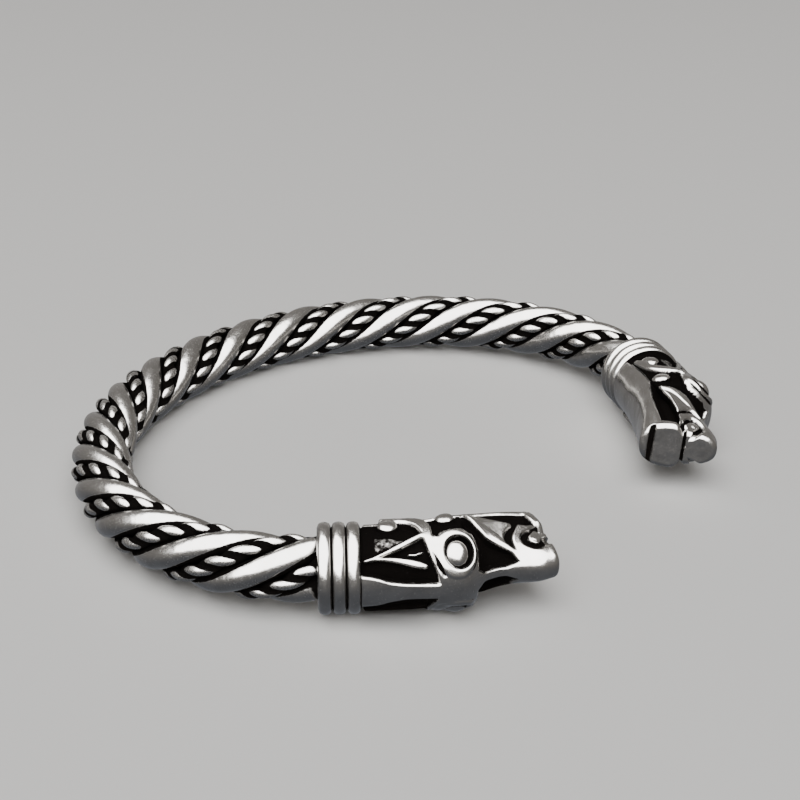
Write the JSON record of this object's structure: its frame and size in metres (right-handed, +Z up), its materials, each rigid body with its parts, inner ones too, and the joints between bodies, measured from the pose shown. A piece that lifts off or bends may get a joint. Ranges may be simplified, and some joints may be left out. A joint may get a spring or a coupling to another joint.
{
  "type": "arm ring with animal heads",
  "caption": "Open twisted silver arm ring of thick rods and two-ply ropes, with a cast animal head on a ringed collar at each end.",
  "frame": {"origin": "on the surface it lies on, below the middle of its length and depth", "axes": "+Z up out of the ring's plane, -Y through the gap between the heads, +X towards the right head"},
  "size_m": [0.0774, 0.0659, 0.0094],
  "materials": {
    "polished_silver": "polished silver rod, a little worn",
    "oxidised_silver": "silver wire rope, oxidised dark between its turns",
    "cast_silver": "polished cast silver with blackened recesses"
  },
  "bodies": {
    "root": {"rod_1": "polished_silver", "rod_2": "polished_silver", "rod_3": "polished_silver", "rope_1": "oxidised_silver", "rope_2": "oxidised_silver", "rope_3": "oxidised_silver", "head_left": "cast_silver", "head_right": "cast_silver"}
  },
  "joints": []
}
